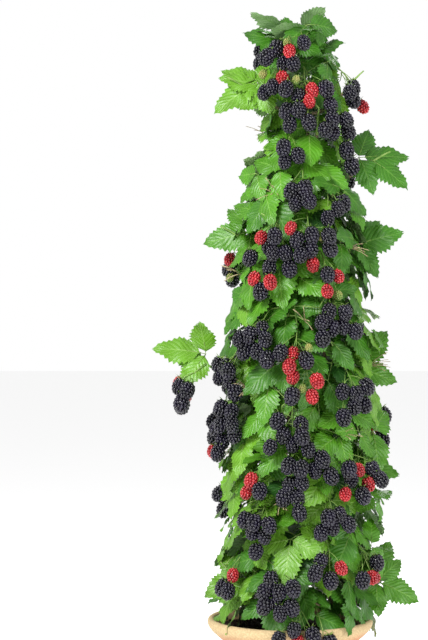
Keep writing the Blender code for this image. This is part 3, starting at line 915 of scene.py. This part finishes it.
def columnLeaf(azimuth, z, layer):
    swing = columnLeaves["turnSwing"]
    for _ in range(columnLeaves["tries"]):
        away, around = outward(azimuth + dice.uniform(-swing, swing)), outward(azimuth + 90)
        height = z + dice.uniform(*columnLeaves["heights"])
        radius = columnRadius(height) - dice.uniform(*layer["depth"])
        goal = columnMiddle(height) + away * radius
        turn, droop = dice.uniform(-1, 1), dice.uniform(*columnLeaves["droop"])
        direction = (away * columnLeaves["outward"] + around * turn - up * droop).normalized()
        rise, aside = dice.uniform(*columnLeaves["faceUp"]), dice.uniform(*columnLeaves["faceAside"])
        normal = squareTo(direction, away * columnLeaves["faceOut"] + up * rise + around * aside)
        mass = nearestHeart(goal)
        look = sprayLooks[mass] if dice.random() < columnLeaves["ownGreen"] else dice.choice(layer["looks"])
        limit = columnRadius(height) + columnLeaves["overhang"]
        if placeLeaf(look, goal, direction, normal, mass, leafGrowth["spacing"], 2, limit):
            return


for azimuth, z in spiral(leafGrowth["outer"], 0.0):
    columnLeaf(azimuth, z, outerLook)
for i in range(topLeaves["count"]):
    z = topLeaves["foot"] + topLeaves["rise"] * i / topLeaves["count"]
    away = outward(plant["goldenAngle"] * i)
    goal = columnMiddle(z) + away * topLeaves["radius"]
    direction = (away * topLeaves["outward"] + up * dice.uniform(*topLeaves["lean"])).normalized()
    normal = squareTo(direction, up * topLeaves["outward"] + away * topLeaves["outward"])
    placeLeaf(sprayLooks["top"], goal, direction, normal, "top", topLeaves["spacing"], 1, topLeaves["reach"])
outerCount = len(leafCentres)
for azimuth, z in spiral(leafGrowth["inner"], 45.0, 0.36, 1.62):
    columnLeaf(azimuth, z, innerLook)
print("leaflets placed:", outerCount, "outside,", len(leafCentres) - outerCount, "inside")

massNodes = [name for name in nodeNames if name.startswith("mass_")]
limbNodes = [name for name in nodeNames if name.startswith(("cane_", "bough_"))]
for name, heap in leafHeaps.items():
    heap.piece(name + "Leaves", leafMaterials[name], "foliage", massNodes)
for name, heap in fruitHeaps.items():
    heap.piece(name + "Fruit", fruitMaterials[name], "foliage", massNodes)
greenStalks.piece("greenStalks", stalkMaterials["green"], "foliage", massNodes)
sepals.piece("sepals", stalkMaterials["green"], "foliage", massNodes)
strawStalks.piece("spentStalks", stalkMaterials["straw"], "foliage", massNodes)
barkHeap.piece("canesAndBoughs", stalkMaterials["bark"], "bark", limbNodes)

# Pot and soil
potBuild = {
    "turns": 112,
    "wall": 0.014,
    "neckRadius": 0.1445,
    "footRadius": 0.112,
    "footBevel": 0.012,
    "rimDrop": 0.009,  # from the top to the rim's widest point
    "rimDepth": 0.062,  # from there to the neck
    "lipRadius": 0.0075,
    "lipShift": 0.0065,
    "belly": 0.005,
    "ridges": 0.0005,
}


def potProfile():
    lipRadius, neckRadius, footRadius = potBuild["lipRadius"], potBuild["neckRadius"], potBuild["footRadius"]
    widest = potHeight - potBuild["rimDrop"]
    neckZ = widest - potBuild["rimDepth"]
    lip = rimRadius - potBuild["wall"]
    points = [(lip - 0.018, soilTop - 0.020), (lip - 0.012, soilTop), (lip - 0.006, potHeight - 0.012)]
    for i in range(9):  # the rounded lip
        angle = math.pi * (1 - i / 8)
        radius = lip + potBuild["lipShift"] + lipRadius * math.cos(angle)
        points.append((radius, potHeight - lipRadius + lipRadius * math.sin(angle)))
    for i in range(1, 22):  # the rim's hollow flare
        share = i / 21
        reach = (1 + math.cos(math.pi * share)) / 2
        points.append((neckRadius + (rimRadius - neckRadius) * reach, widest - potBuild["rimDepth"] * share))
    for i in range(1, 31):  # the body
        share = i / 30
        belly = potBuild["belly"] * math.sin(math.pi * share) + potBuild["ridges"] * math.sin(share * 75)
        points.append((neckRadius + (footRadius - neckRadius) * share**1.5 + belly, neckZ * (1 - share)))
    return points + [(footRadius - potBuild["footBevel"], 0.0), (0.0, 0.0)]


def turned(name, profile, material, node):
    mesh = bmesh.new()
    verts = [mesh.verts.new((r, 0, z)) for r, z in profile]
    edges = [mesh.edges.new(pair) for pair in zip(verts, verts[1:])]
    bmesh.ops.spin(mesh, geom=verts + edges, axis=(0, 0, 1), cent=(0, 0, 0), steps=potBuild["turns"],
                   angle=2 * math.pi, use_merge=True)
    bmesh.ops.remove_doubles(mesh, verts=mesh.verts, dist=0.00005)
    bmesh.ops.recalc_face_normals(mesh, faces=mesh.faces)
    data = bpy.data.meshes.new(name)
    mesh.to_mesh(data)
    mesh.free()
    return addPiece(name, data, material, (node,))


turned("terracottaPot", potProfile(), potMaterial(), "pot")
soilLook = soilMaterial()
soilBuild = {
    "rings": 46,
    "gap": 0.010,  # from the wall
    "skirt": (0.012, 0.03),  # how far its edge turns in and down
    "bumps": 0.004,
    "crumbs": 700,
    "crumbSizes": (0.0012, 0.0038),
}
soilEdge = rimRadius - potBuild["wall"] - soilBuild["gap"]
profile = [(soilEdge - soilBuild["skirt"][0], soilTop - soilBuild["skirt"][1])]
profile += [(soilEdge * (1 - i / soilBuild["rings"]), soilTop) for i in range(soilBuild["rings"] + 1)]
soil = turned("soilBed", profile, soilLook, "soil")
for vert in soil.data.vertices:
    if vert.co.z > soilTop - 0.001:
        lump = noise.noise(vert.co * 40) + 0.6 * noise.noise(vert.co * 130)
        vert.co.z += soilBuild["bumps"] * lump
crumbs = Gathered()
crumbMesh = bmesh.new()
bmesh.ops.create_icosphere(crumbMesh, subdivisions=1, radius=1.0)
crumbShape = meshShape(crumbMesh)
for _ in range(soilBuild["crumbs"]):
    distance, angle = soilEdge * 0.97 * math.sqrt(dice.random()), dice.uniform(0, 6.28)
    size = dice.uniform(*soilBuild["crumbSizes"])
    place = Vector((distance * math.cos(angle), distance * math.sin(angle), soilTop + size * 0.4))
    turn = Matrix.Rotation(dice.uniform(0, 6.28), 4, "X") @ Matrix.Rotation(dice.uniform(0, 6.28), 4, "Z")
    flatten = Matrix.Diagonal((size, size * 0.8, size * 0.6, 1))
    crumbs.add(crumbShape, Matrix.Translation(place) @ turn @ flatten)
crumbs.piece("soilCrumbs", soilLook, "soil", ("soil",), smooth=False)
print("pot and soil made")

# Floor, light and camera
studio = {"floor": 30.0, "floorGlow": 0.55, "ambient": 0.42, "key": 210.0, "fill": 60.0, "back": 60.0}
floorMesh = bmesh.new()
bmesh.ops.create_grid(floorMesh, x_segments=1, y_segments=1, size=studio["floor"])
floorData = bpy.data.meshes.new("floor")
floorMesh.to_mesh(floorData)
floorMesh.free()
floorLook, _, _ = newMaterial("paleFloor", Base_Color=(0.90, 0.90, 0.90, 1), Roughness=0.9,
                              Emission_Color=(1, 1, 1, 1), Emission_Strength=studio["floorGlow"])
floorData.materials.append(floorLook)
floor = bpy.data.objects.new("floor", floorData)
bpy.context.scene.collection.objects.link(floor)

world = bpy.data.worlds.new("studio")
world.use_nodes = True
background = world.node_tree.nodes["Background"]
background.inputs["Color"].default_value = (1, 1, 1, 1)
seen = addNode(world.node_tree, "LightPath").outputs["Is Camera Ray"]
strength = addNode(world.node_tree, "MapRange", {0: seen, 3: studio["ambient"], 4: 1.0})  # white where seen
world.node_tree.links.new(strength.outputs[0], background.inputs["Strength"])
bpy.context.scene.world = world


def areaLight(name, place, target, size, power):
    light = bpy.data.lights.new(name, "AREA")
    light.size = size
    light.energy = power
    obj = bpy.data.objects.new(name, light)
    obj.location = place
    obj.rotation_euler = (Vector(target) - Vector(place)).to_track_quat("-Z", "Y").to_euler()
    bpy.context.scene.collection.objects.link(obj)


areaLight("key", (-2.2, -3.0, 3.4), (0, 0, 0.9), 1.6, studio["key"])
areaLight("fill", (2.8, -2.4, 1.6), (0, 0, 0.9), 2.2, studio["fill"])
areaLight("back", (0.6, 3.2, 3.0), (0, 0, 1.0), 2.0, studio["back"])

photo = {
    "width": 428,
    "height": 640,
    "perMetre": 433.7,  # pixels for each metre at the plant's axis
    "distance": 4.09,
    "axisPixel": 290,  # column of the pot's middle
    "rimPixel": 617,  # row of the pot's top
}
camera = bpy.data.cameras.new("camera")
camera.sensor_fit = "VERTICAL"
camera.sensor_height = 36.0
camera.lens = photo["perMetre"] * photo["distance"] * camera.sensor_height / photo["height"]
viewer = bpy.data.objects.new("camera", camera)
viewer.location = (
    (photo["width"] / 2 - photo["axisPixel"]) / photo["perMetre"],
    -photo["distance"],
    potHeight + (photo["rimPixel"] - photo["height"] / 2) / photo["perMetre"],
)
viewer.rotation_euler = (math.radians(90), 0, 0)
bpy.context.scene.collection.objects.link(viewer)
bpy.context.scene.camera = viewer
bpy.context.scene.view_settings.view_transform = "Standard"
print("studio made")

bpy.context.view_layer.update()
